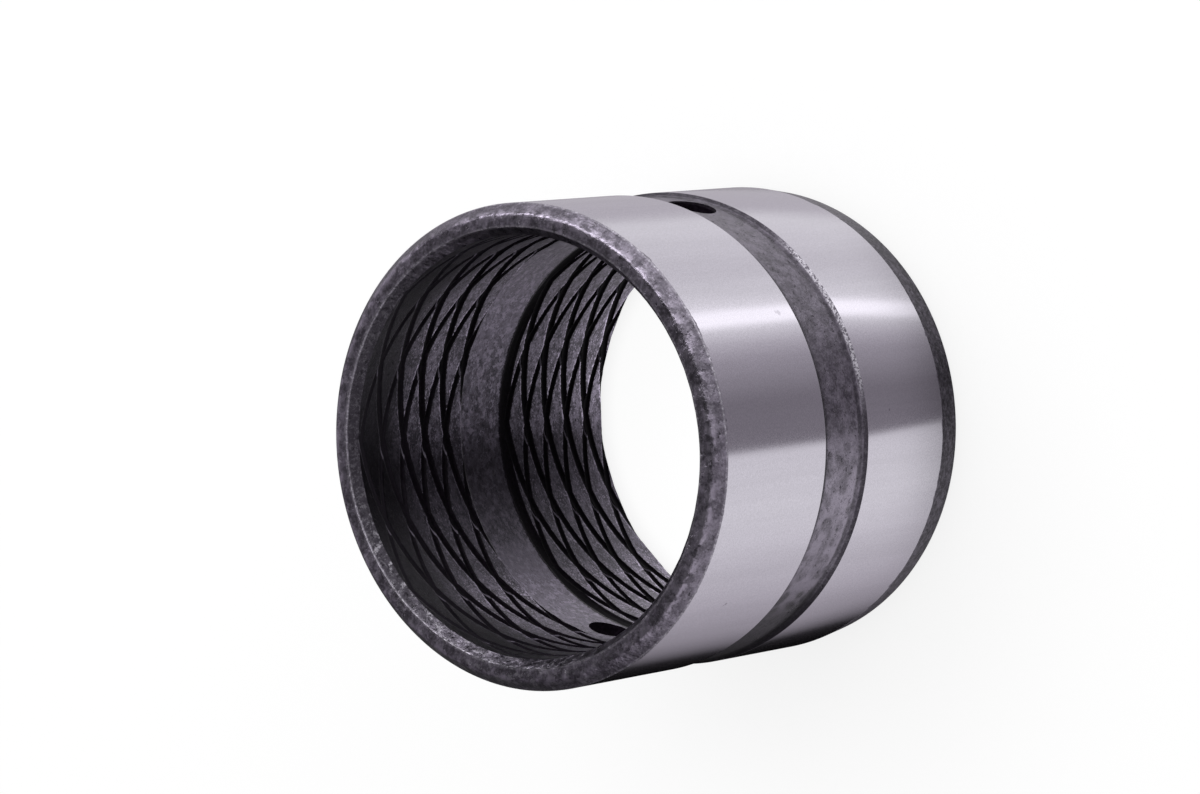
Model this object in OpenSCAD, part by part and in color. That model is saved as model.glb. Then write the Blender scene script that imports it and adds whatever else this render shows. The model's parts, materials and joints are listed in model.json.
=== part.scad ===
// Steel bushing for a heavy pivot: two ground outer lands with a shallow
// oil groove between them, and a bore with two bands of crossing oil grooves
// on either side of a plain relief. It stands on its lead-in end.

/* [Body] */
// Bore diameter
bore_d = 100; // [90:0.5:110]
// Wall from the bore to the ground lands
wall = 7.5; // [6.5:0.25:10]
// Length from face to face
length = 102; // [101:0.5:104]

/* [Ends] */
// Height of the chamfer round the top of the outside
top_chamfer_h = 3.2; // [2:0.1:4]
// Width of that chamfer
top_chamfer_w = 2.6; // [1.5:0.1:3.5]
// Height of the chamfer at the top of the bore
mouth_h = 2.6; // [1:0.1:3]
// Width of that chamfer
mouth_w = 1.9; // [1:0.1:3]
// Height of the unground lead-in at the foot of the outside
lead_in_h = 8; // [5:0.5:12]
// How far the lead-in draws in
lead_in_w = 1; // [0.5:0.1:2]
// Corner break at the foot of the lead-in
foot_break = 0.5; // [0.3:0.1:1]
// Chamfer at the foot of the bore
foot_chamfer = 1.1; // [0.5:0.1:2]

/* [Middle] */
// Height of the middle of the outer groove, the relief and the oil holes
middle_z = 49.7; // [48:0.1:52]
// Width of the outer groove at the lands
groove_w = 18; // [16:0.5:20]
// Depth of the outer groove
groove_depth = 1.1; // [0.8:0.1:2]
// Slope of each wall of the outer groove
groove_wall_angle = 45; // [30:5:60]
// Fillet radius at the foot of those walls
groove_fillet = 3; // [1:0.1:3.5]
// Width of the relief in the bore
relief_w = 19.75; // [18:0.25:21]
// Depth of the relief
relief_depth = 0.62; // [0.6:0.01:1]
// Slope where the upper end of the relief meets the bore
relief_top_angle = 50; // [40:5:70]
// Slope where the lower end of the relief meets the bore
relief_foot_angle = 22; // [16:1:30]

/* [Oil holes] */
// Diameter of the two oil holes
hole_d = 11; // [8:0.5:12]
// Chamfer round each outer mouth
hole_chamfer = 0.6; // [0.3:0.1:1]

/* [Cross grooves] */
// Grooves of each hand in a band
starts = 8; // [6:1:10]
// Distance along the bore from one crossing to the next
crossing_step = 8.3; // [8:0.1:9]
// Steps along the bore in each band
band_steps = 5; // [4:1:5]
// Width of a cross groove at the bore
cross_w = 2.15; // [1.6:0.05:2.5]
// Depth of a cross groove
cross_depth = 0.55; // [0.4:0.05:0.58]
// Share of its depth that a groove has where it starts below the mouth
fade_share = 0.2; // [0.1:0.05:1]
// Steps over which such a groove runs in to its full depth
fade_steps = 2.5; // [0.5:0.5:3]
// Height of the topmost crossings of the upper band
upper_band_z = 98.7; // [98:0.1:99]
// Height of the topmost crossings of the lower band
lower_band_z = 40.8; // [40:0.1:41.5]
// Turn of those crossings from the oil holes
crossing_turn = 15; // [0:1:44]

/* [Hidden] */
$fn = 180;
bore_r = bore_d / 2;
outer_r = bore_r + wall;
floor_r = outer_r - groove_depth;
relief_r = bore_r + relief_depth;
// Turn of each short straight piece of a cross groove
piece_turn = 7.5;
// How far a cross groove's tool reaches into the empty bore
tool_reach = 0.6;
// Share of a cross groove's width that its flat bottom has
bottom_share = 0.45;
// How far the oil holes' tools reach past the wall
hole_reach = 1;

// Points on an arc, from angle a to angle b
function arc(centre, r, a, b, n = 6) =
    [for (i = [0:n]) let (t = a + (b - a) * i / n) centre + r * [cos(t), sin(t)]];

// One wall of the outer groove, from the floor up to a land
function groove_wall(side) = let (
        foot = middle_z + side * (groove_w / 2 - groove_depth / tan(groove_wall_angle)),
        centre = [floor_r + groove_fillet,
                  foot - side * groove_fillet * tan(groove_wall_angle / 2)])
    concat(
        arc(centre, groove_fillet, 180, 180 - side * groove_wall_angle, 6),
        [[outer_r, middle_z + side * groove_w / 2]]);

// One end of the relief, an arc from its floor that meets the bore at a slope
function relief_end(side, angle) = let (
        r = relief_depth / (1 - cos(angle)),
        z = middle_z + side * (relief_w / 2 - r * sin(angle)))
    arc([relief_r - r, z], r, 0, side * angle, 6);

function reverse(v) = [for (i = [len(v) - 1:-1:0]) v[i]];

// Half section of the bushing, as radius and height
function section() = concat(
    [[bore_r + foot_chamfer, 0],
     [outer_r - lead_in_w - foot_break, 0],
     [outer_r - lead_in_w, foot_break],
     [outer_r, lead_in_h]],
    reverse(groove_wall(-1)),
    groove_wall(1),
    [[outer_r, length - top_chamfer_h],
     [outer_r - top_chamfer_w, length],
     [bore_r + mouth_w, length],
     [bore_r, length - mouth_h]],
    reverse(relief_end(1, relief_top_angle)),
    relief_end(-1, relief_foot_angle),
    [[bore_r, foot_chamfer]]);

// Section of a cross groove's tool, as radius and height from its middle,
// drawn back from its full depth by a lift
function tool_section(lift) = let (
        half = cross_w / 2,
        bottom = bottom_share * half,
        flare = (half - bottom) / cross_depth,
        tip = bore_r + cross_depth - lift,
        shank = bore_r - tool_reach - lift)
    [[tip, -bottom],
     [tip, bottom],
     [shank, half + tool_reach * flare],
     [shank, -half - tool_reach * flare]];

// Share of the full depth after some steps down from a topmost crossing
function fade(steps) = min(1, fade_share + (1 - fade_share) * max(0, steps) / fade_steps);

// One helical groove from a topmost crossing down its band, hand +1 or -1
module cross_groove(top_z, hand, faded) {
    step_turn = 360 / starts;
    run = step_turn * band_steps;
    extra = 2;
    pieces = ceil((run + 2 * extra) / piece_turn);
    function at(i) = -extra + (run + 2 * extra) * i / pieces;
    function lift(turn) = faded ? cross_depth * (1 - fade(turn / step_turn)) : 0;
    n = len(tool_section(0));
    polyhedron(
        points = [for (i = [0:pieces]) let (turn = at(i)) for (p = tool_section(lift(turn)))
            [p[0] * cos(hand * turn), p[0] * sin(hand * turn),
             top_z - turn * crossing_step / step_turn + p[1]]],
        faces = concat(
            [hand > 0 ? [for (k = [n - 1:-1:0]) k] : [for (k = [0:n - 1]) k]],
            [hand > 0 ? [for (k = [0:n - 1]) pieces * n + k]
                      : [for (k = [n - 1:-1:0]) pieces * n + k]],
            [for (i = [0:pieces - 1]) for (k = [0:n - 1]) for (half = [0, 1]) let (
                a = i * n + k, b = i * n + (k + 1) % n, c = a + n, d = b + n,
                f = half == 0 ? [a, c, b] : [b, c, d])
                hand > 0 ? reverse(f) : f]));
}

// All the grooves of a band, both hands
module cross_band(top_z, faded) {
    for (i = [0:starts - 1], hand = [-1, 1])
        rotate([0, 0, crossing_turn + i * 360 / starts]) cross_groove(top_z, hand, faded);
}

// One oil hole through the wall, with its outer mouth broken
module oil_hole() {
    translate([0, 0, middle_z]) rotate([0, 90, 0]) {
        cylinder(h = outer_r + hole_reach, d = hole_d);
        translate([0, 0, floor_r - hole_chamfer]) let (flare = groove_depth + hole_chamfer)
            cylinder(h = flare, d1 = hole_d, d2 = hole_d + 2 * flare);
    }
}

module bushing() {
    color([0.42, 0.41, 0.44]) difference() {
        rotate_extrude() polygon(section());
        for (turn = [0, 180]) rotate([0, 0, turn]) oil_hole();
        cross_band(upper_band_z, true);
        cross_band(lower_band_z, false);
    }
}

bushing();
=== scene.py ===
"""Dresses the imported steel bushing: a finely turned and grooved body, its finishes and a studio."""

import json
import math

import bmesh
import bpy
from bpy.props import FloatProperty, FloatVectorProperty, IntProperty, PointerProperty
from mathutils import Matrix, Vector


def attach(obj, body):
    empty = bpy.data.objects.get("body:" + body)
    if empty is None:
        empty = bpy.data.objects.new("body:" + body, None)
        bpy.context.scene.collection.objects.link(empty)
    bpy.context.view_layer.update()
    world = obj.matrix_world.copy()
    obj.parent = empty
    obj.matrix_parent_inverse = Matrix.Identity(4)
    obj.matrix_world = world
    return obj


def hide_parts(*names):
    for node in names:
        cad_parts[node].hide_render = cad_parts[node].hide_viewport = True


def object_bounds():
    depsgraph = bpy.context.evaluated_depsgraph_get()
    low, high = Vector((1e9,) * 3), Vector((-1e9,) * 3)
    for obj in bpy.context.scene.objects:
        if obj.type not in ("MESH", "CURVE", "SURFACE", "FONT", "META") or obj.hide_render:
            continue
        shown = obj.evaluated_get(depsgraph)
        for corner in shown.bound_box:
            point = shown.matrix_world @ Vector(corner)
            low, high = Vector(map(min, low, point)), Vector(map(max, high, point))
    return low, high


bl_info = {
    "name": "Grooved steel bushing",
    "version": (1, 0, 0),
    "blender": (4, 5, 0),
    "location": "3D View > Sidebar > Bushing",
    "description": "Builds a grooved steel bushing and its studio round a packed frame",
    "category": "Object",
}

MM = 0.001

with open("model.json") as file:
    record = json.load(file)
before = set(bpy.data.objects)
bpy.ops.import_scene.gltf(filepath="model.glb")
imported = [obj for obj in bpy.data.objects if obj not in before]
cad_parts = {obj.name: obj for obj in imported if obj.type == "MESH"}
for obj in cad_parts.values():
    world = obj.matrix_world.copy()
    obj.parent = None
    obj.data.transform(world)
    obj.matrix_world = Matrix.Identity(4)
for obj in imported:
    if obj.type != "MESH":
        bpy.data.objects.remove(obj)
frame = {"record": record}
CAD_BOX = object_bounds()
MOUNTS = {mount["name"]: mount for mount in frame["record"]["mounts"]}
NODE = "bushing"
BODY = "root"

# Finishes of the body, in the order of its material slots
SLOTS = ["ground", "skin", "bore", "oil", "hole"]

# Bends below this, such as those within an arc, aren't rounded
SMALLEST_BEND = math.radians(8)
# Corners sharper than this stay crisp in the shading
CREASE = math.radians(30)
# Points of a mesh that lie nearer than this are one, in metres
MERGE = 1e-6
# Height of the oiled strip along the foot of the relief
OIL_STRIP = 2.8 * MM
# Width of the ring of each end face that joins the bore to the outside
RIM = 0.2 * MM
# Width of the mesh's narrow strip beside each cross groove
LIP = 0.12 * MM
# Steps of the lattice beyond each end of the bore, which are cut off
SPARE_STEPS = 0.3
# How far past the wall the oil holes' cutter reaches
CUTTER_REACH = 2 * MM


def length_prop(name, description, millimetres):
    """A length that a user may change, given in millimetres."""
    return FloatProperty(
        name=name,
        description=description,
        default=millimetres * MM,
        precision=5,
        subtype="DISTANCE",
        unit="LENGTH",
    )


def angle_prop(name, description, degrees):
    """An angle that a user may change, given in degrees."""
    return FloatProperty(
        name=name,
        description=description,
        default=math.radians(degrees),
        subtype="ANGLE",
        unit="ROTATION",
    )


def count_prop(name, description, count, low, high):
    """A whole number that a user may change."""
    return IntProperty(name=name, description=description, default=count, min=low, max=high)


def colour_prop(name, description, rgb):
    """A colour that a user may change."""
    return FloatVectorProperty(
        name=name,
        description=description,
        default=rgb,
        size=3,
        min=0.0,
        max=1.0,
        subtype="COLOR",
    )


def mount_radius(name):
    """Radius of a mount's wall, in millimetres."""
    return MOUNTS[name]["dims"]["r_mm"]


class BushingSizes(bpy.types.PropertyGroup):
    """Sizes of the bushing's turned, drilled and milled forms."""

    length: length_prop("Length", "Height from face to face", CAD_BOX[1].z / MM)
    outer_radius: length_prop(
        "Outer radius", "Radius of the ground lands", mount_radius("upper_land")
    )
    bore_radius: length_prop("Bore radius", "Radius of the bore's two bands", mount_radius("bore"))
    top_chamfer_height: length_prop("Top chamfer height", "Height of the outer chamfer at the top", 3.2)
    top_chamfer_width: length_prop("Top chamfer width", "Width of the outer chamfer at the top", 2.6)
    mouth_height: length_prop("Mouth height", "Height of the chamfer at the top of the bore", 2.6)
    mouth_width: length_prop("Mouth width", "Width of the chamfer at the top of the bore", 1.9)
    lead_in_height: length_prop("Lead-in height", "Height of the unground foot of the outside", 8.0)
    lead_in_width: length_prop("Lead-in width", "How far the lead-in draws in", 1.0)
    foot_break: length_prop("Foot break", "Corner break at the foot of the outside", 0.5)
    foot_chamfer: length_prop("Foot chamfer", "Chamfer at the foot of the bore", 1.1)
    middle: length_prop("Middle", "Height of the middle of the groove, relief and holes", 49.7)
    groove_width: length_prop("Groove width", "Width of the outer groove at the lands", 18.0)
    groove_depth: length_prop("Groove depth", "Depth of the outer groove", 1.1)
    groove_wall_angle: angle_prop("Groove wall angle", "Slope of the groove's walls", 45)
    groove_fillet: length_prop("Groove fillet", "Fillet at the foot of the groove's walls", 3.0)
    relief_width: length_prop("Relief width", "Width of the relief in the bore", 19.75)
    relief_depth: length_prop("Relief depth", "Depth of the relief", 0.62)
    relief_top_angle: angle_prop("Relief top angle", "Slope at the relief's upper end", 50)
    relief_foot_angle: angle_prop("Relief foot angle", "Slope at the relief's lower end", 22)
    hole_diameter: length_prop("Hole diameter", "Diameter of the two oil holes", 11.0)
    hole_chamfer: length_prop("Hole chamfer", "Chamfer round each outer mouth", 0.6)
    edge_round: length_prop("Edge round", "Rounding of the turned corners", 0.2)
    face_round: length_prop("Face round", "Rounding between the end face and its outer chamfer", 1.8)


class CrossGrooveSizes(bpy.types.PropertyGroup):
    """Sizes of the crossing oil grooves in the bore."""

    starts: count_prop("Starts", "Grooves of each hand in a band", 8, 4, 12)
    steps: count_prop("Steps", "Crossings along a band", 5, 2, 6)
    step: length_prop("Step", "Distance along the bore between crossings", 8.3)
    wide: length_prop("Wide", "Width of the grooves that turn counterclockwise going down", 2.35)
    slim: length_prop("Slim", "Width of the grooves that turn clockwise going down", 1.95)
    depth: length_prop("Depth", "Depth of a cross groove", 0.55)
    run_out: length_prop("Run-out", "How far a groove runs past the last crossing", 0.37)
    faded: FloatProperty(
        name="Faded depth",
        description="Share of its depth that a groove has where it starts below the mouth",
        default=0.2,
        min=0.0,
        max=1.0,
        subtype="FACTOR",
    )
    fade_steps: FloatProperty(
        name="Fade",
        description="Steps over which such a groove runs in to its full depth",
        default=2.5,
        min=0.5,
        max=5.0,
    )
    upper_band: length_prop("Upper band", "Height of the topmost crossings of the upper band", 98.7)
    lower_band: length_prop("Lower band", "Height of the topmost crossings of the lower band", 40.8)
    turn: angle_prop("Turn", "Turn of those crossings from the oil holes", 15)


class FinishColours(bpy.types.PropertyGroup):
    """Colours of the bushing's finishes."""

    ground: colour_prop("Ground steel", "Bright ground lands", (0.59, 0.568, 0.622))
    skin: colour_prop("Dark skin", "Hardened skin of the unground outside", (0.195, 0.177, 0.214))
    bore: colour_prop("Bore skin", "Hardened skin of the bore", (0.132, 0.118, 0.150))
    oil: colour_prop("Oil", "Black oil in the cross grooves", (0.006, 0.004, 0.007))


class StudioSettings(bpy.types.PropertyGroup):
    """Where the camera stands, and how wide the floor is."""

    lens: FloatProperty(name="Lens", description="Focal length for a 36 mm wide picture", default=161.53)
    azimuth: angle_prop("Azimuth", "Direction the camera looks in, from +Y", 21.468)
    elevation: angle_prop("Elevation", "How steeply the camera looks down", 53.494)
    roll: angle_prop("Roll", "Turn of the picture about the line of sight", 96.791)
    across: length_prop("Camera X", "Camera's place along X", 289.42)
    along: length_prop("Camera Y", "Camera's place along Y", -709.42)
    height: length_prop("Camera height", "Camera's height over the floor", 1102.96)
    floor_size: length_prop("Floor size", "Width of the floor", 3000.0)


def settings():
    """The four groups of values that the panel shows."""
    scene = bpy.context.scene
    return scene.bushing_sizes, scene.bushing_cross, scene.bushing_finish, scene.bushing_studio


# Turned outlines, as points of radius and height


def arc(centre, radius, start, end, steps):
    """Points on an arc, with angles in radians."""
    turns = [start + (end - start) * i / steps for i in range(steps + 1)]
    return [Vector((centre[0] + radius * math.cos(t), centre[1] + radius * math.sin(t))) for t in turns]


def groove_wall(s, side, steps=8):
    """One sloped wall of the outer groove, from its floor to a land."""
    floor, slope = s.outer_radius - s.groove_depth, s.groove_wall_angle
    foot = s.middle + side * (s.groove_width / 2 - s.groove_depth / math.tan(slope))
    centre = (floor + s.groove_fillet, foot - side * s.groove_fillet * math.tan(slope / 2))
    wall = arc(centre, s.groove_fillet, math.pi, math.pi - side * slope, steps)
    return wall + [Vector((s.outer_radius, s.middle + side * s.groove_width / 2))]


def relief_end(s, side, angle, steps=8):
    """One end of the relief: an arc from its floor that meets the bore at a slope."""
    radius = s.relief_depth / (1 - math.cos(angle))
    height = s.middle + side * (s.relief_width / 2 - radius * math.sin(angle))
    centre = (s.bore_radius + s.relief_depth - radius, height)
    return arc(centre, radius, 0, side * angle, steps)


def outside_outline(s):
    """The outside from the edge of the mouth round to the foot of the bore."""
    outer, top = s.outer_radius, s.length
    return [
        Vector((s.bore_radius + s.mouth_width, top)),
        Vector((outer - s.top_chamfer_width, top)),
        Vector((outer, top - s.top_chamfer_height)),
        *reversed(groove_wall(s, 1)),
        *groove_wall(s, -1),
        Vector((outer, s.lead_in_height)),
        Vector((outer - s.lead_in_width, s.foot_break)),
        Vector((outer - s.lead_in_width - s.foot_break, 0)),
        Vector((s.bore_radius + s.foot_chamfer, 0)),
    ]


def rounded(corners, first_radius, other_radius, steps=4):
    """The same outline with each inner corner cut back to a small curve.

    Beside each curve stands one more point, which keeps the shading of the long walls flat.
    """
    points = [corners[0]]
    for before, corner, after in zip(corners, corners[1:], corners[2:]):
        radius = first_radius if corner is corners[1] else other_radius
        back, ahead = before - corner, after - corner
        bend = math.pi - back.angle(ahead)
        if bend < SMALLEST_BEND:
            points.append(corner)
            continue
        reach = min(radius * math.tan(bend / 2), back.length / 4, ahead.length / 4)
        start = corner + back.normalized() * reach
        end = corner + ahead.normalized() * reach
        if back.length > 8 * reach:
            points.append(start + back.normalized() * radius)
        for i in range(steps + 1):
            t = i / steps
            points.append(start * (1 - t) ** 2 + corner * 2 * t * (1 - t) + end * t**2)
        if ahead.length > 8 * reach:
            points.append(end + ahead.normalized() * radius)
    return points + [corners[-1]]


def bore_outline(s):
    """The plain bore without its cross grooves, from foot to mouth."""
    return [
        Vector((s.bore_radius + s.foot_chamfer, 0)),
        Vector((s.bore_radius, s.foot_chamfer)),
        *reversed(relief_end(s, -1, s.relief_foot_angle)),
        *relief_end(s, 1, s.relief_top_angle),
        Vector((s.bore_radius, s.length - s.mouth_height)),
        Vector((s.bore_radius + s.mouth_width, s.length)),
    ]


def radius_at(outline, z):
    """Radius of an outline that climbs steadily, at one height."""
    for low, high in zip(outline, outline[1:]):
        if z <= high.y:
            share = (z - low.y) / (high.y - low.y)
            return low.x + (high.x - low.x) * min(max(share, 0.0), 1.0)
    return outline[-1].x


# The lattice of cross grooves. Its two counts run along the two hands of helix,
# and both are whole numbers where two grooves cross.


def gap_steps(c):
    """Steps between the topmost crossings of the two bands."""
    return round((c.upper_band - c.lower_band) / c.step)


def height_of(c, down):
    """Height of a point that lies some steps below the topmost crossings."""
    gap = gap_steps(c)
    if down <= c.steps:
        return c.upper_band - down * c.step
    if down >= gap:
        return c.lower_band - (down - gap) * c.step
    share = (down - c.steps) / (gap - c.steps)
    end = c.upper_band - c.steps * c.step
    return end + (c.lower_band - end) * share


def steps_down(c, z):
    """Steps from the topmost crossings down to a height, the inverse of height_of."""
    gap = gap_steps(c)
    end = c.upper_band - c.steps * c.step
    if z >= end:
        return (c.upper_band - z) / c.step
    if z <= c.lower_band:
        return gap + (c.lower_band - z) / c.step
    return c.steps + (gap - c.steps) * (end - z) / (end - c.lower_band)


def hand_width(c, hand):
    """Width of the cross grooves of a hand, +1 or -1."""
    return c.slim if hand > 0 else c.wide


def lattice_lines(c, hand, land_lines=5):
    """Where the mesh's lines lie in one cell: close over the groove, wide over the land."""
    half = hand_width(c, hand) / 2 / c.step
    lip = half + LIP / c.step
    over_groove = [half * share for share in (0, 0.3, 0.6, 0.85, 1)]
    land = [lip + (1 - 2 * lip) * i / land_lines for i in range(land_lines + 1)]
    return over_groove + land + [1 - x for x in reversed(over_groove[1:])]


def groove_depth_at(c, turn, z):
    """Depth of the cross grooves at a turn and height on the bore."""
    down = steps_down(c, z)
    along = (turn - c.turn) / (2 * math.pi / c.starts)
    run = c.run_out / c.step
    gap = gap_steps(c)
    deepest = 0.0
    for hand in (1, -1):
        count = down + hand * along
        off = count - round(count)
        centre = down - off
        if not (-run <= centre <= c.steps + run or centre >= gap - run):
            continue
        share = 1.0
        if centre < c.steps:
            share = min(1.0, c.faded + (1 - c.faded) * max(centre, 0.0) / c.fade_steps)
        half = hand_width(c, hand) / 2
        tool = (half**2 + c.depth**2) / (2 * c.depth)
        across = abs(off) * c.step
        if across < half:
            cut = math.sqrt(tool**2 - across**2) - (tool - c.depth * share)
            deepest = max(deepest, cut)
    return deepest


def place_on_cylinder(vert, radius, turn, z):
    """Moves a vertex to a radius, turn and height."""
    vert.co = Vector((radius * math.cos(turn), radius * math.sin(turn), z))


def in_cross_groove(s, c, outline, face):
    """Whether a face of the bore lies in a cross groove or in the oil along the relief's foot."""
    middle = face.calc_center_median()
    turn = math.atan2(middle.y, middle.x)
    plain = radius_at(outline, middle.z)
    relief_foot = s.middle - s.relief_width / 2
    in_foot = relief_foot < middle.z < relief_foot + OIL_STRIP and plain > s.bore_radius
    return in_foot or s.bore_radius + groove_depth_at(c, turn, middle.z) > plain + 0.01 * MM


def bore_wall(bm, s, c):
    """The bore with its relief and cross grooves, as one sheet whose lines follow the grooves."""
    one_lines, other_lines = lattice_lines(c, 1), lattice_lines(c, -1)
    per_cell = len(one_lines)
    down_end = steps_down(c, 0) + SPARE_STEPS
    down_start = steps_down(c, s.length) - SPARE_STEPS
    first = math.floor(2 * down_start - c.starts)
    last = math.ceil(2 * down_end)
    columns, rows = c.starts * per_cell, (last - first) * per_cell
    bmesh.ops.create_grid(bm, x_segments=columns, y_segments=rows, size=1)

    def count_at(share, cells, lines):
        line = round(share * cells)
        return line // per_cell + lines[line % per_cell]

    for vert in bm.verts:
        one = count_at((vert.co.x + 1) / 2, columns, one_lines)
        other = first + count_at((vert.co.y + 1) / 2, rows, other_lines)
        turn = c.turn + (one - other) * math.pi / c.starts
        place_on_cylinder(vert, s.bore_radius, turn, height_of(c, (one + other) / 2))
    bmesh.ops.remove_doubles(bm, verts=bm.verts, dist=MERGE)

    outline = bore_outline(s)
    for point in outline:
        bmesh.ops.bisect_plane(
            bm,
            geom=bm.verts[:] + bm.edges[:] + bm.faces[:],
            dist=2 * MERGE,
            plane_co=(0, 0, point.y),
            plane_no=(0, 0, 1),
            clear_inner=point is outline[0],
            clear_outer=point is outline[-1],
        )
    for vert in bm.verts:
        turn = math.atan2(vert.co.y, vert.co.x)
        z = vert.co.z
        depth = groove_depth_at(c, turn, z)
        plain = radius_at(outline, z)
        place_on_cylinder(vert, max(plain, s.bore_radius + depth), turn, z)
    for face in bm.faces:
        z = face.calc_center_median().z
        in_mouth = z > s.length - s.mouth_height or z < s.foot_chamfer
        face.material_index = SLOTS.index("skin" if in_mouth else "bore")
        if in_cross_groove(s, c, outline, face):
            face.material_index = SLOTS.index("oil")


def outside_wall(bm, s, turns=384):
    """The outside and both end faces, spun from one outline."""
    outline = rounded(outside_outline(s), s.face_round, s.edge_round)
    outline[0] = outline[0] + Vector((RIM, 0))
    outline[-1] = outline[-1] + Vector((RIM, 0))
    verts = [bm.verts.new((point.x, 0, point.y)) for point in outline]
    edges = [bm.edges.new(pair) for pair in zip(verts, verts[1:])]
    old = set(bm.faces)
    bmesh.ops.spin(
        bm,
        geom=verts + edges,
        cent=(0, 0, 0),
        axis=(0, 0, 1),
        dvec=(0, 0, 0),
        angle=2 * math.pi,
        steps=turns,
        use_merge=True,
        use_duplicate=False,
    )
    for face in bm.faces:
        if face not in old:
            middle = face.calc_center_median()
            on_land = middle.xy.length > s.outer_radius - 0.02 * MM
            face.material_index = SLOTS.index("ground" if on_land else "skin")


def close_end(bm, z):
    """Joins the bore's rim to the outside's rim in the plane of an end face."""
    rims = [e for e in bm.edges if e.is_boundary and all(abs(v.co.z - z) < MERGE for v in e.verts)]
    made = bmesh.ops.bridge_loops(bm, edges=rims)
    for face in made["faces"]:
        face.material_index = SLOTS.index("skin")


def mesh_object(name, bm):
    """A new object at the origin that holds the mesh."""
    mesh = bpy.data.meshes.new(name)
    bm.to_mesh(mesh)
    bm.free()
    piece = bpy.data.objects.new(name, mesh)
    bpy.context.scene.collection.objects.link(piece)
    return piece


def oil_hole_cutter(s, segments=96):
    """One bar through both walls along X, flared outside each groove floor."""
    bm = bmesh.new()
    radius = s.hole_diameter / 2
    reach = s.outer_radius + CUTTER_REACH
    flare_start = s.outer_radius - s.groove_depth - s.hole_chamfer
    flare = reach - flare_start
    along_x = Matrix.Rotation(math.pi / 2, 4, "Y")
    lift = Matrix.Translation((0, 0, s.middle))
    bmesh.ops.create_cone(
        bm,
        cap_ends=True,
        segments=segments,
        radius1=radius,
        radius2=radius,
        depth=2 * flare_start,
        matrix=lift @ along_x,
    )
    for side in (-1, 1):
        cap = [f for f in bm.faces if len(f.verts) > 4 and f.normal.x * side > 0.9]
        grown = bmesh.ops.extrude_face_region(bm, geom=cap)
        bmesh.ops.delete(bm, geom=cap, context="FACES_ONLY")
        rim = [item for item in grown["geom"] if isinstance(item, bmesh.types.BMVert)]
        for vert in rim:
            away = Vector((0, vert.co.y, vert.co.z - s.middle))
            vert.co += away * (flare / radius) + Vector((side * flare, 0, 0))
    for face in bm.faces:
        face.material_index = SLOTS.index("hole")
    bmesh.ops.recalc_face_normals(bm, faces=bm.faces)
    return mesh_object("oil_hole_cutter", bm)


def drill(piece, cutter):
    """Cuts the cutter out of the piece for good and removes the cutter."""
    for material in piece.data.materials:
        cutter.data.materials.append(material)
    cut = piece.modifiers.new("oil holes", "BOOLEAN")
    cut.operation, cut.solver, cut.object = "DIFFERENCE", "EXACT", cutter
    bpy.context.view_layer.objects.active = piece
    bpy.ops.object.modifier_apply(modifier=cut.name)
    bpy.data.objects.remove(cutter)


def shade_with_creases(piece, angle):
    """Shades smooth, with every corner sharper than the angle kept crisp."""
    bm = bmesh.new()
    bm.from_mesh(piece.data)
    for face in bm.faces:
        face.smooth = True
    for edge in bm.edges:
        edge.smooth = not (len(edge.link_faces) == 2 and edge.calc_face_angle(0) > angle)
    bm.to_mesh(piece.data)
    bm.free()


# Finishes

# Sides of the bushing, as the middle in degrees from +X and the reach to either hand
# Groove walls with a painted highlight; the walls elsewhere get painted shade
LIT_GROOVE_WALL = (-44, 27)
# Groove floor with painted shade
DIMMED_GROOVE_FLOOR = (-41, 19)
STAMPED_GROOVE = (-98, 30)
# Groove floor with painted shade
SHADED_GROOVE_FLOOR = (-142, 34)
STAINED_MOUTH = (104, 72)
# Top end where flakes of bright metal are painted light as well as wear
WORN_AND_LIT_END = (170, 55)
# Bore side where the painted glint spots are stronger
LIT_GLINT_SIDE = (166, 60)
# Bore side with painted shade
SHADED_BORE_SIDE = (130, 26)
# Relief sides with painted light
LIT_RELIEF_SIDES = ((52, 36), (158, 22))

# Handling marks on the ground lands, as turn in degrees, height and size in mm, and how dark
NICKS = [
    (-43.5, 64.6, 0.7, 0.35),
    (-43.2, 65.6, 0.45, 0.3),
    (-114.8, 82.2, 0.45, 0.55),
    (-115.2, 82.9, 0.35, 0.55),
    (-131.8, 71.9, 0.3, 0.55),
    (-70, 31, 0.4, 0.55),
]


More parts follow.
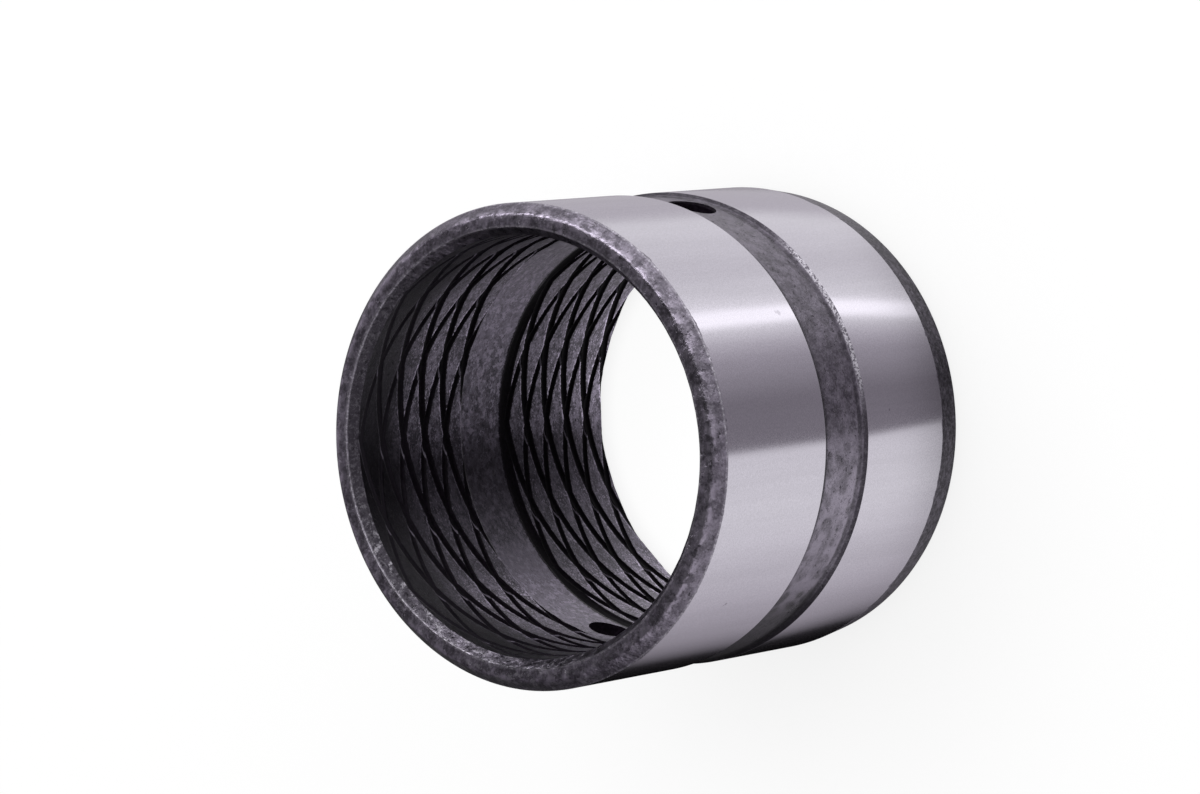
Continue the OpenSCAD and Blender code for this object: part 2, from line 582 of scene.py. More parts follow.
class Nodes:
    """Adds nodes to a tree and joins their sockets. Its turn is a direction round the axis."""

    def __init__(self, tree):
        self.tree = tree
        self.turn = None
        tree.nodes.clear()

    def add(self, kind, inputs=None, **values):
        """A new node, with its values set and its inputs set or joined."""
        node = self.tree.nodes.new(kind)
        for name, value in values.items():
            setattr(node, name, value)
        for key, value in (inputs or {}).items():
            if isinstance(value, bpy.types.NodeSocket):
                self.tree.links.new(value, node.inputs[key])
            else:
                node.inputs[key].default_value = value
        return node

    def maths(self, operation, *values, clamp=False):
        inputs = dict(enumerate(values))
        return self.add("ShaderNodeMath", inputs, operation=operation, use_clamp=clamp).outputs[0]

    def plus(self, one, other):
        return self.maths("ADD", one, other)

    def minus(self, one, other):
        return self.maths("SUBTRACT", one, other)

    def most(self, one, other):
        return self.maths("MAXIMUM", one, other)

    def times(self, first, *others):
        """The product of its values."""
        for other in others:
            first = self.maths("MULTIPLY", first, other)
        return first

    def ramp(self, value, low, high, start=0.0, end=1.0):
        """A smooth rise from start to end as the value goes from low to high."""
        inputs = {"Value": value, "From Min": low, "From Max": high, "To Min": start, "To Max": end}
        node = self.add("ShaderNodeMapRange", inputs, interpolation_type="SMOOTHSTEP")
        return node.outputs["Result"]

    def mix(self, share, one, other, blend="MIX"):
        """One colour mixed or blended with another, on the colour sockets of a mix node."""
        inputs = {0: share, 6: one, 7: other}
        return self.add("ShaderNodeMix", inputs, data_type="RGBA", blend_type=blend).outputs[2]

    def paint(self, tone, colour, level, *shares):
        """The tone with a colour laid over it at a level, by the product of some shares."""
        return self.mix(self.times(*shares), tone, rgba(colour, level))

    def noise(self, vector, scale, detail=2.0, roughness=0.5):
        inputs = {"Vector": vector, "Scale": scale, "Detail": detail, "Roughness": roughness}
        return self.add("ShaderNodeTexNoise", inputs).outputs["Fac"]

    def shader(self, kind, **inputs):
        """A shader with its inputs set or joined."""
        return self.add(kind, inputs).outputs[0]

    def add_shaders(self, one, other):
        return self.add("ShaderNodeAddShader", {0: one, 1: other}).outputs[0]

    def mix_shaders(self, share, one, other):
        return self.add("ShaderNodeMixShader", {0: share, 1: one, 2: other}).outputs[0]


class Finish(Nodes):
    """A new material, with the shaded place in object coordinates and its turn, radius and height."""

    def __init__(self, name):
        self.material = bpy.data.materials.new(name)
        self.material.use_nodes = True
        super().__init__(self.material.node_tree)
        self.position = self.add("ShaderNodeTexCoord").outputs["Object"]
        parts = self.add("ShaderNodeSeparateXYZ", {"Vector": self.position}).outputs
        flat = self.add("ShaderNodeCombineXYZ", {"X": parts["X"], "Y": parts["Y"]}).outputs[0]
        length = self.add("ShaderNodeVectorMath", {0: flat}, operation="LENGTH")
        self.turn = self.maths("ARCTAN2", parts["Y"], parts["X"])
        self.radius = length.outputs["Value"]
        self.z = parts["Z"]

    def shown_by(self, shader):
        """The material, with its surface shown by a shader."""
        self.add("ShaderNodeOutputMaterial", {"Surface": shader})
        return self.material


def rgba(colour, share=1.0):
    """A colour with alpha, made darker or lighter by a share."""
    return (*[channel * share for channel in colour], 1.0)


def stretched(n, position, scale):
    """Object coordinates scaled by axis."""
    return n.add("ShaderNodeMapping", {"Vector": position, "Scale": scale}).outputs[0]


def surface(n, colour, roughness, metallic, bumps, gloss=0.5):
    """The finish's material, with a list of bumps as height, strength and depth."""
    inputs = {
        "Base Color": colour,
        "Roughness": roughness,
        "Metallic": metallic,
        "Specular IOR Level": gloss,
    }
    for height, strength, depth in bumps:
        bump = {"Height": height, "Strength": strength, "Distance": depth}
        if "Normal" in inputs:
            bump["Normal"] = inputs["Normal"]
        inputs["Normal"] = n.add("ShaderNodeBump", bump).outputs[0]
    return n.shown_by(n.add("ShaderNodeBsdfPrincipled", inputs).outputs[0])


def band(n, value, low, high, soft):
    """One between two values and nothing outside them."""
    rise = n.ramp(value, low - soft, low + soft)
    fall = n.ramp(value, high - soft, high + soft, 1.0, 0.0)
    return n.times(rise, fall)


def wander(n, noise, depth):
    """A length that wanders to either side of nothing, by half the depth."""
    return n.times(n.minus(noise, 0.5), depth)


def one_side(n, middle, reach):
    """One on a side, in degrees from +X, and nothing elsewhere."""
    away = n.maths("WRAP", n.minus(n.turn, math.radians(middle)), math.pi, -math.pi)
    full = 0.6 * reach
    return n.ramp(n.maths("ABSOLUTE", away), math.radians(full), math.radians(reach), 1.0, 0.0)


def near_rim(n, rim, height, width):
    """One on a rim, at a radius and height, and nothing beyond a distance from it."""
    across = n.maths("POWER", n.minus(n.radius, rim), 2.0)
    down = n.maths("POWER", n.minus(n.z, height), 2.0)
    return n.ramp(n.maths("SQRT", n.plus(across, down)), 0.3 * width, width, 1.0, 0.0)


def scale_tone(n, position, colour, dark, light, contrast):
    """Blotches, grain and pits of hardened steel between two shares of a colour, with the noises."""
    blotches = n.noise(position, 330, 4, 0.62)
    grain = n.noise(position, 1700, 3, 0.7)
    pits = n.ramp(n.noise(position, 820, 4, 0.7), 0.33, 0.41)
    spread = 0.16 / contrast
    share = n.plus(n.times(blotches, 0.6), n.times(grain, 0.4))
    tone = n.mix(n.ramp(share, 0.5 - spread, 0.5 + spread), rgba(colour, dark), rgba(colour, light))
    return n.mix(pits, rgba(colour, 0.45 * dark), tone), grain, pits, blotches


def groove_walls(n, s, colours, tone, away, wobble):
    """Painted shade in the outer groove's fillets and on its walls, and a painted highlight in sparkles
    on the walls of one side.
    """
    outer, half = s.outer_radius, s.groove_width / 2
    # Painted shade in patches in the fillets at the foot of the walls
    fillet = band(n, n.plus(away, wobble), half - 2.6 * MM, half - 1.1 * MM, 0.4 * MM)
    fillet = n.times(fillet, n.ramp(n.radius, outer - 2 * MM, outer - 1.5 * MM))
    patches = n.ramp(n.noise(n.position, 150, 3, 0.6), 0.35, 0.6, 0.25, 0.8)
    tone = n.paint(tone, colours.skin, 0.3, fillet, patches)
    wall = n.ramp(n.radius, outer - 0.85 * MM, outer - 0.6 * MM)
    wall = n.times(wall, n.ramp(away, half + 0.1 * MM, half, 0.0, 1.0))
    # The side whose walls get a painted highlight in sparkles
    worn = one_side(n, *LIT_GROOVE_WALL)
    wall_highlight = n.ramp(n.noise(n.position, 1800, 3, 0.7), 0.42, 0.58)
    wall_highlight = n.mix(wall_highlight, rgba(colours.skin, 0.5), rgba(colours.ground, 0.75))
    tone = n.mix(n.times(wall, worn), tone, wall_highlight)
    # Painted shade on the walls away from that side
    return n.paint(tone, colours.skin, 0.22, wall, n.minus(1.0, worn), 0.85), wall


def groove_floor(n, s, colours, tone, away, wall, flakes):
    """Painted shade on two sides of the outer groove's floor, and small stamped rings on it."""
    half = s.groove_width / 2
    floor = band(n, away, -1 * MM, half, 0.2 * MM)
    # Painted shade on the groove floor of one side
    shaded_floor = n.times(one_side(n, *SHADED_GROOVE_FLOOR), floor)
    tone = n.paint(tone, colours.skin, 0.1, shaded_floor, 0.85)
    # Painted shade in flakes on the groove floor of another side, clear of the walls
    dimmed_floor = n.times(one_side(n, *DIMMED_GROOVE_FLOOR), floor)
    dimmed_floor = n.maths("SUBTRACT", dimmed_floor, wall, clamp=True)
    tone = n.paint(tone, colours.skin, 0.3, dimmed_floor, n.ramp(flakes, 0.40, 0.58, 0.55, 0.15))
    rings = n.add("ShaderNodeTexVoronoi", {"Vector": n.position, "Scale": 300}, feature="SMOOTH_F1")
    stamped = n.times(
        one_side(n, *STAMPED_GROOVE),
        band(n, away, -1 * MM, half - 2.5 * MM, 0.5 * MM),
        n.ramp(rings.outputs["Distance"], 0.25, 0.6),
    )
    return n.paint(tone, colours.skin, 1.9, stamped, 0.6)


def lead_in_scuffs(n, s, colours, tone):
    """The lead-in, nearly black with scuffs."""
    lead_in = n.ramp(n.z, s.lead_in_height, s.lead_in_height + 0.3 * MM, 0.85, 0.0)
    scuffs = n.ramp(n.noise(n.position, 800, 5, 0.75), 0.44, 0.56, 1.0, 0.5)
    return n.paint(tone, colours.skin, 0.12, lead_in, scuffs)


def end_flakes(n, s, colours, tone, flakes):
    """Light and dark flakes on the top face and its chamfer, and a painted highlight in patches on the
    corner between them.
    """
    top = s.length
    face = n.ramp(n.z, top - 0.2 * MM, top - 0.1 * MM)
    tone = n.paint(tone, colours.skin, 0.4, face, n.ramp(flakes, 0.38, 0.50, 0.6, 0.0))
    tone = n.paint(tone, colours.skin, 2.0, face, n.ramp(flakes, 0.52, 0.66, 0.0, 0.55))
    chamfer = band(n, n.z, top - s.top_chamfer_height, top - 0.3 * MM, 0.3 * MM)
    tone = n.paint(tone, colours.skin, 0.4, chamfer, n.ramp(flakes, 0.42, 0.54, 0.6, 0.0))
    # A painted highlight in patches along the rounded corner between face and chamfer
    corner = near_rim(n, s.outer_radius - s.top_chamfer_width + 0.3 * MM, top, 2.0 * MM)
    corner_highlight = n.times(n.ramp(n.noise(n.position, 330, 3, 0.6), 0.46, 0.56), corner)
    return n.paint(tone, colours.skin, 2.2, corner_highlight, 0.55), corner_highlight


def mouth_stain(n, s, colours, tone, wobble):
    """The dark stain in the bore's mouth on one side."""
    edge = s.bore_radius + s.mouth_width
    inside = n.ramp(n.plus(n.radius, wobble), edge, edge - 0.3 * MM)
    inside = n.times(inside, n.ramp(n.radius, s.outer_radius - 1 * MM, s.outer_radius, 1.0, 0.0))
    stained = one_side(n, *STAINED_MOUTH)
    return n.paint(tone, colours.skin, 0.18, inside, stained, 0.9)


def rubbed_metal(n, s, colours, tone, chips):
    """Bright metal along the rims of the top end, in chips, and in flakes that are faint all round and
    stronger on one side, where they are painted light as well as wear.
    """
    top = s.length
    rubbed = n.most(
        near_rim(n, s.bore_radius + s.mouth_width, top, 0.65 * MM),
        near_rim(n, s.outer_radius, top - s.top_chamfer_height, 0.7 * MM),
    )
    bright = n.times(n.ramp(chips, 0.0, 1.0, 0.3, 1.0), rubbed, 0.75)
    bright = n.most(bright, n.times(chips, 0.10))
    coarse = n.ramp(n.noise(n.position, 420, 5, 0.8), 0.53, 0.60)
    # The stronger flakes on one side are painted light as well as wear
    worn = n.plus(n.times(one_side(n, *WORN_AND_LIT_END), 0.32), 0.10)
    flaked = n.times(coarse, worn, n.ramp(n.z, top - 3 * MM, top - 2.6 * MM))
    return n.mix(n.most(bright, flaked), tone, rgba(colours.ground, 0.9))


def dark_skin(s, colours):
    """The hardened skin of the unground outside, which also covers the mouth and both end faces."""
    n = Finish("dark_skin")
    tone, grain, pits, blotches = scale_tone(n, n.position, colours.skin, 0.55, 1.3, 1.3)
    wobble = wander(n, n.noise(n.position, 500, 3, 0.6), 1.0 * MM)
    flakes = n.noise(n.position, 340, 5, 0.72)
    chips = n.ramp(n.noise(n.position, 1100, 4, 0.75), 0.50, 0.62)
    away = n.maths("ABSOLUTE", n.minus(n.z, s.middle))
    tone, wall = groove_walls(n, s, colours, tone, away, wobble)
    tone = lead_in_scuffs(n, s, colours, tone)
    tone, corner_highlight = end_flakes(n, s, colours, tone, flakes)
    tone = mouth_stain(n, s, colours, tone, wobble)
    tone = rubbed_metal(n, s, colours, tone, chips)
    tone = groove_floor(n, s, colours, tone, away, wall, flakes)
    rough = n.minus(n.ramp(blotches, 0.3, 0.7, 0.27, 0.38), n.times(corner_highlight, 0.05))
    lumps = n.noise(n.position, 430, 2, 0.5)
    lumpy = n.ramp(n.z, s.length - 4 * MM, s.length - 3.2 * MM, 0.2, 1.0)
    bumps = [
        (lumps, lumpy, 0.38 * MM),
        (grain, 0.6, 0.07 * MM),
        (pits, 0.5, 0.1 * MM),
        (chips, 0.3, 0.06 * MM),
    ]
    return surface(n, tone, rough, 1.0, bumps)


def groove_lattice(n, s, c, hand):
    """The cross grooves of one hand: the signed distance from the nearest one's middle, positive
    below it, the distance from its edge, which is large where there are none, and its share of
    the full depth."""
    upper = n.maths("GREATER_THAN", n.z, s.middle)
    top = n.plus(n.times(upper, c.upper_band - c.lower_band), c.lower_band)
    down = n.maths("DIVIDE", n.minus(top, n.z), c.step)
    along = n.maths("DIVIDE", n.minus(n.turn, c.turn), 2 * math.pi / c.starts)
    off = n.maths("WRAP", n.plus(down, n.times(along, float(hand))), 0.5, -0.5)
    centre = n.minus(down, off)
    run = c.run_out / c.step
    below, above = n.maths("GREATER_THAN", centre, c.steps + run), n.maths("LESS_THAN", centre, -run)
    growth = n.maths("DIVIDE", n.most(centre, 0.0), c.fade_steps)
    share = n.maths("MINIMUM", n.plus(n.times(growth, 1 - c.faded), c.faded), 1.0)
    share = n.most(share, n.minus(1.0, upper))
    half = n.times(n.maths("POWER", share, 0.45), hand_width(c, hand) / 2)
    across = n.times(off, c.step)
    gap = n.minus(n.maths("ABSOLUTE", across), half)
    return across, n.plus(gap, n.times(n.plus(above, below), c.step)), share


def lips(n, across, gap, ragged, width):
    """The light burr along the upper edge of a hand's grooves."""
    burr = band(n, n.plus(gap, ragged), -0.02 * MM, width, 0.07 * MM)
    return n.times(burr, n.maths("LESS_THAN", across, 0.0))


def in_bands(n, s):
    """One on the bore's two bands and nothing in the relief."""
    top, foot = s.middle + s.relief_width / 2, s.middle - s.relief_width / 2
    return n.minus(1.0, band(n, n.z, foot + 0.1 * MM, top - 0.1 * MM, 0.1 * MM))


def band_marks(n, s, c, colours, tone, marks, ragged, patchy, bands):
    """Painted glint spots on the bore's bands, and the burrs and oil smears beside their cross grooves,
    the smears with painted shade on the grooves' slopes.
    """
    # Painted highlights: glint spots in clusters, stronger on one side
    clusters = n.ramp(n.noise(n.position, 180, 3, 0.6), 0.38, 0.62, 0.35, 1.0)
    painted_glints = n.ramp(n.noise(marks, 1700, 2, 0.7), 0.58, 0.66)
    lit = n.maths("MULTIPLY_ADD", one_side(n, *LIT_GLINT_SIDE), 0.4, 0.5)
    tone = n.paint(tone, colours.bore, 5.0, painted_glints, clusters, bands, lit)
    burr, stain = 0.0, 0.0
    for hand in (1, -1):
        across, gap, depth = groove_lattice(n, s, c, hand)
        burr = n.most(lips(n, across, gap, ragged, 0.36 * MM), burr)
        # Oil smeared past each groove's edge, reaching further on its lower side as painted shade over
        # the slope
        below = n.times(n.maths("GREATER_THAN", across, 0.0), 0.18 * MM)
        smear_and_shade = n.ramp(n.minus(n.plus(gap, ragged), below), -0.08 * MM, 0.10 * MM, 1.0, 0.0)
        stain = n.most(n.times(smear_and_shade, depth), stain)
    tone = n.paint(tone, colours.bore, 4.5, burr, bands, patchy)
    return n.paint(tone, colours.oil, 1.5, stain, bands)


def relief_ends(n, s, colours, tone, relief, ragged, patchy):
    """Painted light on two sides of the relief, the oil along its foot and a painted highlight along its
    top edge.
    """
    top, foot = s.middle + s.relief_width / 2, s.middle - s.relief_width / 2
    # Painted light on two sides of the relief
    clean = n.most(*[one_side(n, *side) for side in LIT_RELIEF_SIDES])
    tone = n.paint(tone, colours.bore, 2.2, clean, relief, 0.25)
    strip = n.ramp(n.plus(n.z, ragged), foot + 3.3 * MM, foot + 3.8 * MM, 1.0, 0.0)
    tone = n.paint(tone, colours.oil, 1.2, strip, relief)
    # A painted highlight along the relief's top edge
    edge = band(n, n.z, top - 0.15 * MM, top + 0.1 * MM, 0.06 * MM)
    return n.paint(tone, colours.bore, 3.5, edge, patchy)


def bore_finish(s, c, colours):
    """The bore's plain parts: grainy bands, a smoother relief between them, and painted shade reaching
    down from the mouth.
    """
    n = Finish("bore_skin")
    marks = stretched(n, n.position, (1, 1, 1.4))
    tone, grain, pits, blotches = scale_tone(n, marks, colours.bore, 0.45, 1.6, 1.9)
    ragged = wander(n, n.noise(n.position, 1100, 3, 0.65), 1.9 * MM)
    patchy = n.ramp(n.noise(n.position, 520, 3, 0.65), 0.40, 0.58, 0.05, 0.95)
    bands = in_bands(n, s)
    relief = n.minus(1.0, bands)
    tone = band_marks(n, s, c, colours, tone, marks, ragged, patchy, bands)
    tone = n.paint(tone, colours.bore, 1.15, relief, 0.2)
    flakes = n.ramp(n.noise(n.position, 620, 5, 0.75), 0.51, 0.58)
    tone = n.paint(tone, colours.bore, 2.5, flakes, relief, 0.85)
    spots = n.ramp(n.noise(marks, 750, 4, 0.7), 0.56, 0.62)
    tone = n.paint(tone, colours.bore, 0.25, spots, 0.75)
    # Painted shade on one side of the bore
    tone = n.paint(tone, colours.bore, 0.25, one_side(n, *SHADED_BORE_SIDE), 0.65)
    tone = relief_ends(n, s, colours, tone, relief, ragged, patchy)
    # Painted shade that darkens the bore towards the mouth
    shade_from_mouth = n.plus(n.z, n.times(n.noise(n.position, 60, 3, 0.6), 14 * MM))
    shade_from_mouth = n.ramp(shade_from_mouth, s.length - 19 * MM, s.length - 4 * MM, 0.0, 0.92)
    tone = n.mix(shade_from_mouth, tone, rgba(colours.bore, 0.12))
    rough = n.ramp(blotches, 0.3, 0.7, 0.28, 0.38)
    bumps = [(blotches, 0.35, 0.2 * MM), (grain, 0.7, 0.08 * MM), (pits, 0.4, 0.08 * MM)]
    return surface(n, tone, rough, 1.0, bumps)


def oil_finish(s, c, colours):
    """Black oil in the cross grooves, with the wide grooves' burrs where they cross the slim ones."""
    n = Finish("oil")
    grain = n.noise(n.position, 1300, 3, 0.6)
    tone = n.mix(n.ramp(grain, 0.4, 0.75), rgba(colours.oil, 0.4), rgba(colours.oil, 1.3))
    across, gap, depth = groove_lattice(n, s, c, -1)
    burr = lips(n, across, gap, wander(n, grain, 0.4 * MM), 0.35 * MM)
    tone = n.paint(tone, colours.bore, 1.6, burr, in_bands(n, s), 0.6)
    tone = n.paint(tone, colours.bore, 0.3, n.minus(1.0, depth), 0.4)
    return surface(n, tone, 0.5, 0.0, [(grain, 0.35, 0.05 * MM)], gloss=0.05)


def hole_finish(colours):
    """The dark walls of the oil holes."""
    n = Finish("hole")
    grain = n.noise(n.position, 1200, 3, 0.6)
    tone = n.mix(n.ramp(grain, 0.35, 0.7), rgba(colours.oil, 0.5), rgba(colours.oil, 1.5))
    return surface(n, tone, 0.55, 0.0, [(grain, 0.3, 0.05 * MM)], gloss=0.03)


def nicks(n, s, colours, tone, dust):
    """The handling marks, laid over the ground lands."""
    for degrees, height, size, depth in NICKS:
        turned = math.radians(degrees)
        spot = (s.outer_radius * math.cos(turned), s.outer_radius * math.sin(turned), height * MM)
        far = n.add("ShaderNodeVectorMath", {0: n.position, 1: spot}, operation="DISTANCE")
        far = n.plus(far.outputs["Value"], n.times(dust, 0.4 * MM))
        nick = n.ramp(far, size * MM, 1.6 * size * MM, depth, 0.0)
        tone = n.mix(nick, tone, rgba(colours.skin, 0.9))
    return tone


def ground_specks(n, colours, tone):
    """A few small dark specks on the ground lands."""
    cells = n.add("ShaderNodeTexVoronoi", {"Vector": n.position, "Scale": 90}, feature="F1").outputs
    chosen = n.add("ShaderNodeSeparateColor", {"Color": cells["Color"]}).outputs[0]
    size = n.ramp(chosen, 0.90, 1.0, 0.0, 0.05)
    clean = n.ramp(n.minus(cells["Distance"], size), -0.02, 0.0)
    return n.mix(clean, rgba(colours.ground, 0.45), tone)


def ground_steel(s, colours):
    """Bright lands with grinding marks, a few specks, and dark skin that creeps in from the edges."""
    n = Finish("ground_steel")
    lines = n.noise(stretched(n, n.position, (40, 40, 6000)), 1.0, 3, 0.7)
    chatter = n.noise(stretched(n, n.position, (620, 620, 25)), 1.0, 3, 0.6)
    streaks = n.noise(stretched(n, n.position, (150, 150, 7)), 1.0, 3, 0.6)
    creep = n.noise(stretched(n, n.position, (110, 110, 260)), 1.0, 4, 0.7)
    dust = n.noise(n.position, 2600, 2, 0.8)
    tone = n.mix(n.ramp(dust, 0.35, 0.65), rgba(colours.ground, 0.90), rgba(colours.ground, 1.05))
    tone = n.mix(n.ramp(streaks, 0.35, 0.65, 0.12, 0.0), tone, rgba(colours.ground, 0.5))
    tone = ground_specks(n, colours, tone)
    tone = nicks(n, s, colours, tone, dust)
    to_chamfer = n.minus(s.length - s.top_chamfer_height, n.z)
    edge = n.maths("MINIMUM", to_chamfer, n.minus(n.z, s.lead_in_height))
    reach = n.ramp(creep, 0.5, 0.8, 0.02 * MM, 1.6 * MM)
    bare = n.ramp(n.minus(edge, reach), -0.10 * MM, 0.12 * MM)
    tone = n.mix(bare, rgba(colours.skin), tone)
    rough = n.plus(n.ramp(dust, 0.3, 0.7, 0.10, 0.15), n.ramp(bare, 0.0, 1.0, 0.24, 0.0))
    return surface(n, tone, rough, 1.0, [(lines, 0.08, 0.015 * MM), (chatter, 0.05, 0.02 * MM)])


# Stage

WHITE = (1.0, 1.0, 1.0, 1.0)

# Soft lamps, as name, place and width in metres, and watts
LAMPS = [
    ("overhead", (0.35, 0.25, 1.1), 0.7, 5),
    ("side", (0.9, -0.5, 0.6), 0.5, 2),
]

# The studio as metal sees it, as direction round the bushing in degrees from
# +X and brightness, where 1 is white: what it mirrors from below the horizon,
# and what it mirrors from above.
LOW_BANDS = [
    (-180, 0.45), (-164, 0.60), (-139, 0.82), (-114, 1.03), (-84.5, 0.95), (-82.5, 0.26),
    (-60, 0.26), (-39, 0.48), (-31, 0.70), (-23, 1.0), (-21, 1.7), (-14, 1.7),
    (-12, 1.1), (-2, 0.98), (10, 0.88), (47, 0.95), (60, 0.60), (96, 0.50),
    (122, 0.0), (148, 0.01), (160, 0.22), (172, 0.38), (180, 0.45),
]
HIGH_BANDS = [
    (-180, 0.08), (-168, 0.26), (-155, 0.70), (-141, 0.88), (-111, 0.78), (-94, 0.62),
    (-78, 0.64), (-62, 0.72), (-45, 1.05), (-28, 1.65), (-13, 1.55), (2, 1.55),
    (16, 1.25), (30, 0.95), (42, 0.95), (90, 0.5), (120, 0.32), (168, 0.07),
]

# How much more red, green and blue the dark directions get
DARK_TINT = (0.09, 0.0, 0.13)
STUDIO_TINT = (1.0, 0.99, 1.015, 1.0)

# Sides of the studio, as the middle in degrees from +X and the reach to either hand
WINDOW_SIDE = (30, 42)
UNLIT_SIDE = (150, 70)

# The slanted window: how its height falls with each radian of turn, its height
# on +X, half its width and its brightness
WINDOW_SLANT = 0.312
WINDOW_HEIGHT = 0.68
WINDOW_HALF = 0.07
WINDOW_BRIGHTNESS = 8.0


def grey(level):
    """A grey colour with alpha."""
    return (level, level, level, 1.0)


def ray_kinds(n):
    """Whether the camera or a passed-through ray sees this, and whether a surface mirrors it."""
    path = n.add("ShaderNodeLightPath").outputs
    return n.most(path["Is Camera Ray"], path["Is Transmission Ray"]), path["Is Glossy Ray"]


def floor_material(s):
    """A pale floor that shows near white to the camera and takes a shadow, with painted light where
    the bore shades it. Metal mirrors the studio beyond it, with painted shade in the middle of the
    bore and a glowing ring near the bore's foot as a painted reflection."""
    n = Finish("floor")
    radius, bore = n.radius, s.bore_radius
    seen, mirrored = ray_kinds(n)
    # Painted light: the floor glows more where the bore shades it
    level = n.ramp(radius, 0.9 * bore, 1.1 * bore, 0.94, 0.8)
    glow = n.shader("ShaderNodeEmission", Color=WHITE, Strength=level)
    shown = n.add_shaders(glow, n.shader("ShaderNodeBsdfDiffuse", Color=grey(0.19)))
    plain = n.shader("ShaderNodeBsdfDiffuse", Color=grey(0.8))
    # Painted shade in the middle of the bore, seen only where metal mirrors the floor
    through = n.ramp(radius, 0.34 * bore, 0.92 * bore, 0.26, 1.0)
    tint = n.add("ShaderNodeCombineColor", {0: through, 1: through, 2: through}).outputs[0]
    clear = n.shader("ShaderNodeBsdfTransparent", Color=tint)
    # A glowing ring that only metal mirrors: a painted reflection
    rim_light = n.times(band(n, radius, 0.86 * bore, bore, 0.06 * bore), 0.4)
    rim_light = n.shader("ShaderNodeEmission", Color=WHITE, Strength=rim_light)
    direct = n.mix_shaders(seen, plain, shown)
    whole = n.mix_shaders(mirrored, direct, n.add_shaders(clear, rim_light))
    return n.shown_by(whole)


def brightness_round(n, stops):
    """Brightness by direction round the upright axis."""
    share = n.plus(n.maths("DIVIDE", n.turn, 2 * math.pi), 0.5)
    node = n.add("ShaderNodeValToRGB", {"Fac": share})
    elements = node.color_ramp.elements
    while len(elements) < len(stops):
        elements.new(0.5)
    for element, (degrees, brightness) in zip(elements, stops):
        dark = max(0.0, 1 - brightness)
        element.position = degrees / 360 + 0.5
        element.color = (*[brightness * (1 + tint * dark) for tint in DARK_TINT], 1.0)
    return node.outputs[0]


def mirrored_below(n, climb):
    """What metal mirrors from below the horizon: dim straight down and nearly unlit on one side."""
    down = n.mix(n.ramp(climb, -0.94, -0.86), grey(0.24), WHITE)
    low = n.mix(1.0, brightness_round(n, LOW_BANDS), down, blend="MULTIPLY")
    unlit = n.times(one_side(n, *UNLIT_SIDE), n.ramp(climb, -0.78, -0.70))
    return n.mix(unlit, low, grey(0.08))


def mirrored_above(n, climb):
    """What metal mirrors from above the horizon: dim overhead, with one slanted bright window."""
    high = n.mix(n.ramp(climb, 0.6, 0.8), brightness_round(n, HIGH_BANDS), grey(0.16))
    slanted = n.minus(n.maths("MULTIPLY_ADD", n.turn, WINDOW_SLANT, climb), WINDOW_HEIGHT)
    across = band(n, slanted, -WINDOW_HALF, WINDOW_HALF, 0.05)
    window = n.times(one_side(n, *WINDOW_SIDE), across)
    return n.mix(window, high, grey(WINDOW_BRIGHTNESS))


def studio_world():
    """Plain light on everything, and the studio's bright and dark sides for what is metal."""
    world = bpy.data.worlds.new("studio")
    world.use_nodes = True
    bpy.context.scene.world = world
    n = Nodes(world.node_tree)
    direction = n.add("ShaderNodeTexCoord").outputs["Generated"]
    parts = n.add("ShaderNodeSeparateXYZ", {"Vector": direction}).outputs
    n.turn, climb = n.maths("ARCTAN2", parts["Y"], parts["X"]), parts["Z"]
    low, high = mirrored_below(n, climb), mirrored_above(n, climb)
    mirrored = n.mix(n.ramp(climb, -0.3, 0.0), low, high)
    mirrored = n.mix(1.0, mirrored, STUDIO_TINT, blend="MULTIPLY")
    seen, glossy = ray_kinds(n)
    polished = n.shader("ShaderNodeBackground", Color=mirrored, Strength=1.0)
    plain = n.shader("ShaderNodeBackground", Color=WHITE, Strength=0.75)
    white = n.shader("ShaderNodeBackground", Color=WHITE, Strength=1.0)
    lit = n.mix_shaders(glossy, plain, polished)
    n.add("ShaderNodeOutputWorld", {"Surface": n.mix_shaders(seen, lit, white)})


def area_light(name, place, target, size, watts):
    """A soft square lamp that faces the target."""
    lamp = bpy.data.lights.new(name, "AREA")
    lamp.shape, lamp.size, lamp.energy = "SQUARE", size, watts
    holder = bpy.data.objects.new(name, lamp)
    holder.location = place
    holder.rotation_euler = (Vector(target) - Vector(place)).to_track_quat("-Z", "Y").to_euler()
    holder.visible_glossy = False
    bpy.context.scene.collection.objects.link(holder)


def set_camera(studio):
    """The camera at the photograph's place and angle."""
    camera = bpy.data.cameras.new("camera")
    camera.lens = studio.lens
    camera.sensor_width = 36
    camera.clip_start, camera.clip_end = 0.05, 20
    holder = bpy.data.objects.new("camera", camera)
    bpy.context.scene.collection.objects.link(holder)
    turned = Matrix.Rotation(studio.azimuth, 3, "Z")
    tilted = turned @ Matrix.Rotation(math.pi / 2 - studio.elevation, 3, "X")
    holder.rotation_euler = (tilted @ Matrix.Rotation(-studio.roll, 3, "Z")).to_euler()
    holder.location = (studio.across, studio.along, studio.height)
    bpy.context.scene.camera = holder


# Operators


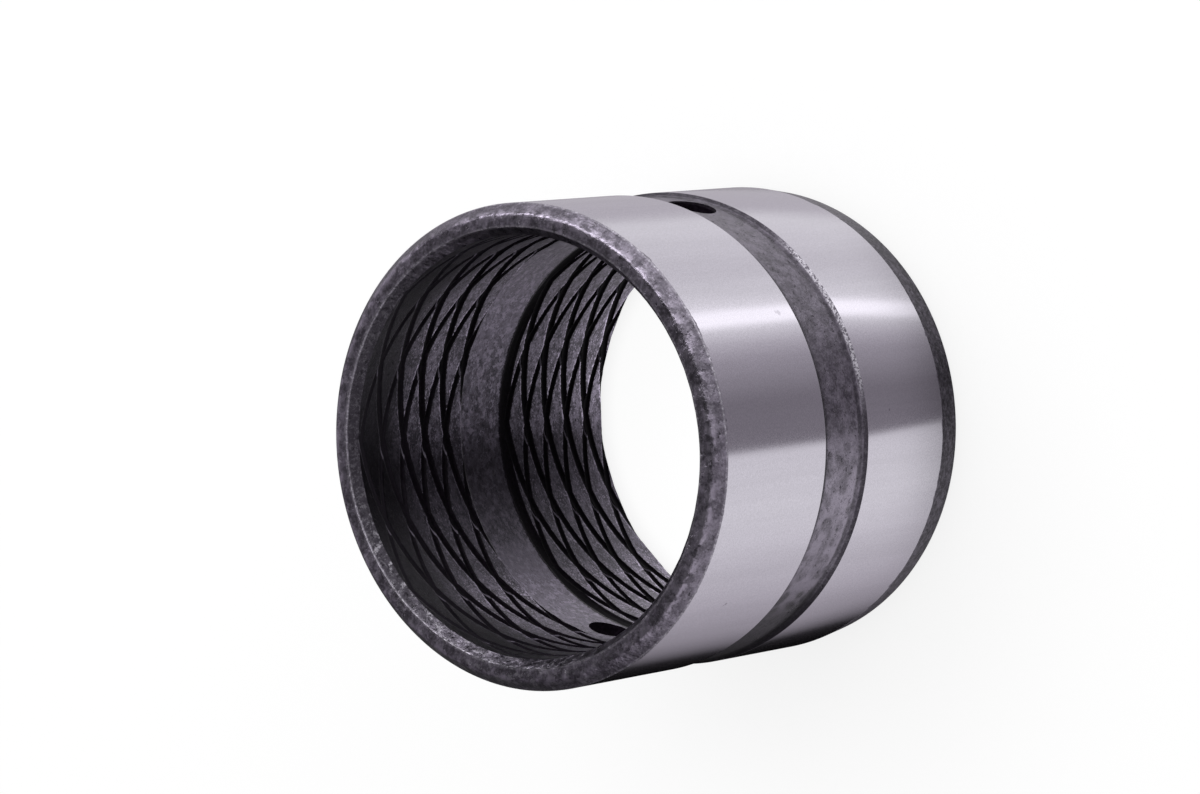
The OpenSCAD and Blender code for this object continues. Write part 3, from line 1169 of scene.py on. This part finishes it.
class BUSHING_OT_turn_body(bpy.types.Operator):
    """Turn the bushing, mill its grooves, drill its oil holes and finish its surfaces"""

    bl_idname = "bushing.turn_body"
    bl_label = "Bushing"

    def execute(self, context):
        s, c, colours, _ = settings()
        bm = bmesh.new()
        bore_wall(bm, s, c)
        outside_wall(bm, s)
        for z in (0, s.length):
            close_end(bm, z)
        bmesh.ops.recalc_face_normals(bm, faces=bm.faces)
        piece = mesh_object("steel_bushing", bm)
        for material in (
            ground_steel(s, colours),
            dark_skin(s, colours),
            bore_finish(s, c, colours),
            oil_finish(s, c, colours),
            hole_finish(colours),
        ):
            piece.data.materials.append(material)
        drill(piece, oil_hole_cutter(s))
        shade_with_creases(piece, CREASE)
        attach(piece, BODY)
        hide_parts(NODE)
        return {"FINISHED"}


class BUSHING_OT_set_stage(bpy.types.Operator):
    """Lay the floor, set the lamps and world, and place the camera"""

    bl_idname = "bushing.set_stage"
    bl_label = "Stage"

    def execute(self, context):
        s, _, _, studio = settings()
        bm = bmesh.new()
        bmesh.ops.create_grid(bm, x_segments=1, y_segments=1, size=studio.floor_size / 2)
        floor = mesh_object("floor", bm)
        floor.data.materials.append(floor_material(s))
        studio_world()
        for name, place, width, watts in LAMPS:
            area_light(name, place, (0, 0, s.length / 2), width, watts)
        set_camera(studio)
        bpy.context.scene.view_settings.view_transform = "Standard"
        return {"FINISHED"}


class BUSHING_PT_panel(bpy.types.Panel):
    """The bushing's values and the steps that build it"""

    bl_idname = "BUSHING_PT_panel"
    bl_label = "Grooved steel bushing"
    bl_space_type = "VIEW_3D"
    bl_region_type = "UI"
    bl_category = "Bushing"

    def draw(self, context):
        layout = self.layout
        for group in settings():
            box = layout.box()
            box.label(text=group.bl_rna.name)
            for name in type(group).__annotations__:
                box.prop(group, name)
        for operator in OPERATORS:
            layout.operator(operator.bl_idname)


GROUPS = {
    "bushing_sizes": BushingSizes,
    "bushing_cross": CrossGrooveSizes,
    "bushing_finish": FinishColours,
    "bushing_studio": StudioSettings,
}
OPERATORS = [BUSHING_OT_turn_body, BUSHING_OT_set_stage]


def register():
    """Registers the classes and hangs the groups on the scene."""
    for cls in (*GROUPS.values(), *OPERATORS, BUSHING_PT_panel):
        bpy.utils.register_class(cls)
    for name, group in GROUPS.items():
        setattr(bpy.types.Scene, name, PointerProperty(type=group))


def unregister():
    """Takes the groups and classes away again."""
    for name in GROUPS:
        delattr(bpy.types.Scene, name)
    for cls in reversed((*GROUPS.values(), *OPERATORS, BUSHING_PT_panel)):
        bpy.utils.unregister_class(cls)


def main():
    register()
    bpy.ops.bushing.turn_body()
    bpy.ops.bushing.set_stage()


if __name__ == "__main__":
    main()
